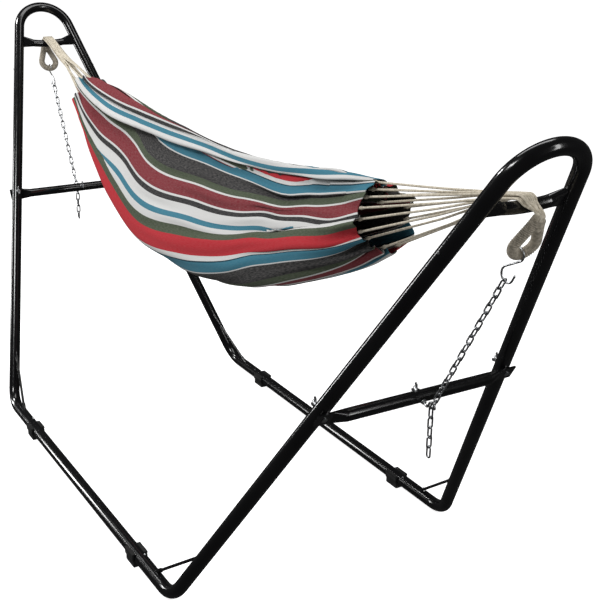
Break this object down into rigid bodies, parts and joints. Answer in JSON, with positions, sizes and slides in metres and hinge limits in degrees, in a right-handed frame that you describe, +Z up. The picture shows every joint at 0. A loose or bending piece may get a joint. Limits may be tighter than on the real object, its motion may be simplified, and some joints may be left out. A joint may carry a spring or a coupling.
{
  "type": "hammock with stand",
  "caption": "Striped fabric hammock with rope ends, hung over the saddle bars of a freestanding arched tube stand and held by chains and hooks.",
  "frame": {"origin": "on the floor under the centre of the stand", "axes": "+X along the stand towards the right end frame, +Y across it towards the far rail, +Z up"},
  "size_m": [3.1126, 0.979, 1.4087],
  "materials": {
    "black_paint": "gloss black powder coat",
    "black_plastic": "moulded black plastic",
    "zinc_plate": "bright zinc plate",
    "cotton_rope": "natural laid cotton cord",
    "striped_cotton": "woven striped cotton"
  },
  "bodies": {
    "stand": {"near_base_rail": "black_paint", "far_base_rail": "black_paint", "near_left_foot": "black_plastic", "near_right_foot": "black_plastic", "far_left_foot": "black_plastic", "far_right_foot": "black_plastic", "near_left_leg": "black_paint", "near_right_leg": "black_paint", "far_left_leg": "black_paint", "far_right_leg": "black_paint", "near_left_brace": "black_paint", "near_right_brace": "black_paint", "far_left_brace": "black_paint", "far_right_brace": "black_paint", "left_arch": "black_paint", "right_arch": "black_paint", "left_saddle": "black_paint", "right_saddle": "black_paint", "left_crossbar": "black_paint", "right_crossbar": "black_paint", "left_crossbar_bolts": "zinc_plate", "right_crossbar_bolts": "zinc_plate", "bolt_washers": "zinc_plate", "left_hook_bolt": "zinc_plate", "right_hook_bolt": "zinc_plate", "hook_washers": "zinc_plate", "button_springs": "zinc_plate", "left_chain": "zinc_plate", "right_chain": "zinc_plate", "left_s_hook": "zinc_plate", "right_s_hook": "zinc_plate", "left_whipped_loop": "cotton_rope", "right_whipped_loop": "cotton_rope", "left_saddle_wrap": "cotton_rope", "right_saddle_wrap": "cotton_rope"},
    "hammock": {"hammock_cloth": "striped_cotton", "left_cords": "cotton_rope", "right_cords": "cotton_rope"},
    "left_tail": {"left_chain_tail": "zinc_plate"},
    "right_tail": {"right_chain_tail": "zinc_plate"},
    "near_left_wing_nut_body": {"near_left_wing_nut": "zinc_plate"},
    "far_left_wing_nut_body": {"far_left_wing_nut": "zinc_plate"},
    "left_hook_wing_nut_body": {"left_hook_wing_nut": "zinc_plate"},
    "near_right_wing_nut_body": {"near_right_wing_nut": "zinc_plate"},
    "far_right_wing_nut_body": {"far_right_wing_nut": "zinc_plate"},
    "right_hook_wing_nut_body": {"right_hook_wing_nut": "zinc_plate"},
    "near_left_rail_button_body": {"near_left_rail_button": "zinc_plate"},
    "near_left_arch_button_body": {"near_left_arch_button": "zinc_plate"},
    "far_left_rail_button_body": {"far_left_rail_button": "zinc_plate"},
    "far_left_arch_button_body": {"far_left_arch_button": "zinc_plate"},
    "near_right_rail_button_body": {"near_right_rail_button": "zinc_plate"},
    "near_right_arch_button_body": {"near_right_arch_button": "zinc_plate"},
    "far_right_rail_button_body": {"far_right_rail_button": "zinc_plate"},
    "far_right_arch_button_body": {"far_right_arch_button": "zinc_plate"}
  },
  "joints": [
    {"name": "hammock_swing", "type": "hinge", "parent": "stand", "child": "hammock", "pos_m": [0, 0, 1.27288], "axis": [1, 0, 0], "range_deg": [-25, 25]},
    {"name": "left_tail_swing", "type": "hinge", "parent": "stand", "child": "left_tail", "pos_m": [-1.19739, 0, 0.69469], "axis": [0, 1, 0], "range_deg": [-10, 45]},
    {"name": "right_tail_swing", "type": "hinge", "parent": "stand", "child": "right_tail", "pos_m": [1.19739, 0, 0.69469], "axis": [0, -1, 0], "range_deg": [-10, 45]},
    {"name": "near_left_wing_nut_turn", "type": "hinge", "parent": "stand", "child": "near_left_wing_nut_body", "pos_m": [-1.11373, -0.27119, 0.73267], "axis": [-0.8545, 0, -0.5195], "continuous": true},
    {"name": "far_left_wing_nut_turn", "type": "hinge", "parent": "stand", "child": "far_left_wing_nut_body", "pos_m": [-1.11373, 0.27119, 0.73267], "axis": [-0.8545, 0, -0.5195], "continuous": true},
    {"name": "left_hook_wing_nut_turn", "type": "hinge", "parent": "stand", "child": "left_hook_wing_nut_body", "pos_m": [-1.13765, 0, 0.71812], "axis": [-0.8545, 0, -0.5195], "continuous": true},
    {"name": "near_right_wing_nut_turn", "type": "hinge", "parent": "stand", "child": "near_right_wing_nut_body", "pos_m": [1.11373, -0.27119, 0.73267], "axis": [0.8545, 0, -0.5195], "continuous": true},
    {"name": "far_right_wing_nut_turn", "type": "hinge", "parent": "stand", "child": "far_right_wing_nut_body", "pos_m": [1.11373, 0.27119, 0.73267], "axis": [0.8545, 0, -0.5195], "continuous": true},
    {"name": "right_hook_wing_nut_turn", "type": "hinge", "parent": "stand", "child": "right_hook_wing_nut_body", "pos_m": [1.13765, 0, 0.71812], "axis": [0.8545, 0, -0.5195], "continuous": true},
    {"name": "near_left_rail_button_press", "type": "slide", "parent": "stand", "child": "near_left_rail_button_body", "axis": [0, 0.4226, 0.9063], "range_m": [-0.004, 0], "stiffness_N_per_m": 1500},
    {"name": "near_left_arch_button_press", "type": "slide", "parent": "stand", "child": "near_left_arch_button_body", "axis": [-0.1207, -0.9726, 0.1986], "range_m": [-0.004, 0], "stiffness_N_per_m": 1500},
    {"name": "far_left_rail_button_press", "type": "slide", "parent": "stand", "child": "far_left_rail_button_body", "axis": [0, -0.4226, 0.9063], "range_m": [-0.004, 0], "stiffness_N_per_m": 1500},
    {"name": "far_left_arch_button_press", "type": "slide", "parent": "stand", "child": "far_left_arch_button_body", "axis": [-0.1207, 0.9726, 0.1986], "range_m": [-0.004, 0], "stiffness_N_per_m": 1500},
    {"name": "near_right_rail_button_press", "type": "slide", "parent": "stand", "child": "near_right_rail_button_body", "axis": [0, 0.4226, 0.9063], "range_m": [-0.004, 0], "stiffness_N_per_m": 1500},
    {"name": "near_right_arch_button_press", "type": "slide", "parent": "stand", "child": "near_right_arch_button_body", "axis": [0.1207, -0.9726, 0.1986], "range_m": [-0.004, 0], "stiffness_N_per_m": 1500},
    {"name": "far_right_rail_button_press", "type": "slide", "parent": "stand", "child": "far_right_rail_button_body", "axis": [0, -0.4226, 0.9063], "range_m": [-0.004, 0], "stiffness_N_per_m": 1500},
    {"name": "far_right_arch_button_press", "type": "slide", "parent": "stand", "child": "far_right_arch_button_body", "axis": [0.1207, 0.9726, 0.1986], "range_m": [-0.004, 0], "stiffness_N_per_m": 1500}
  ]
}
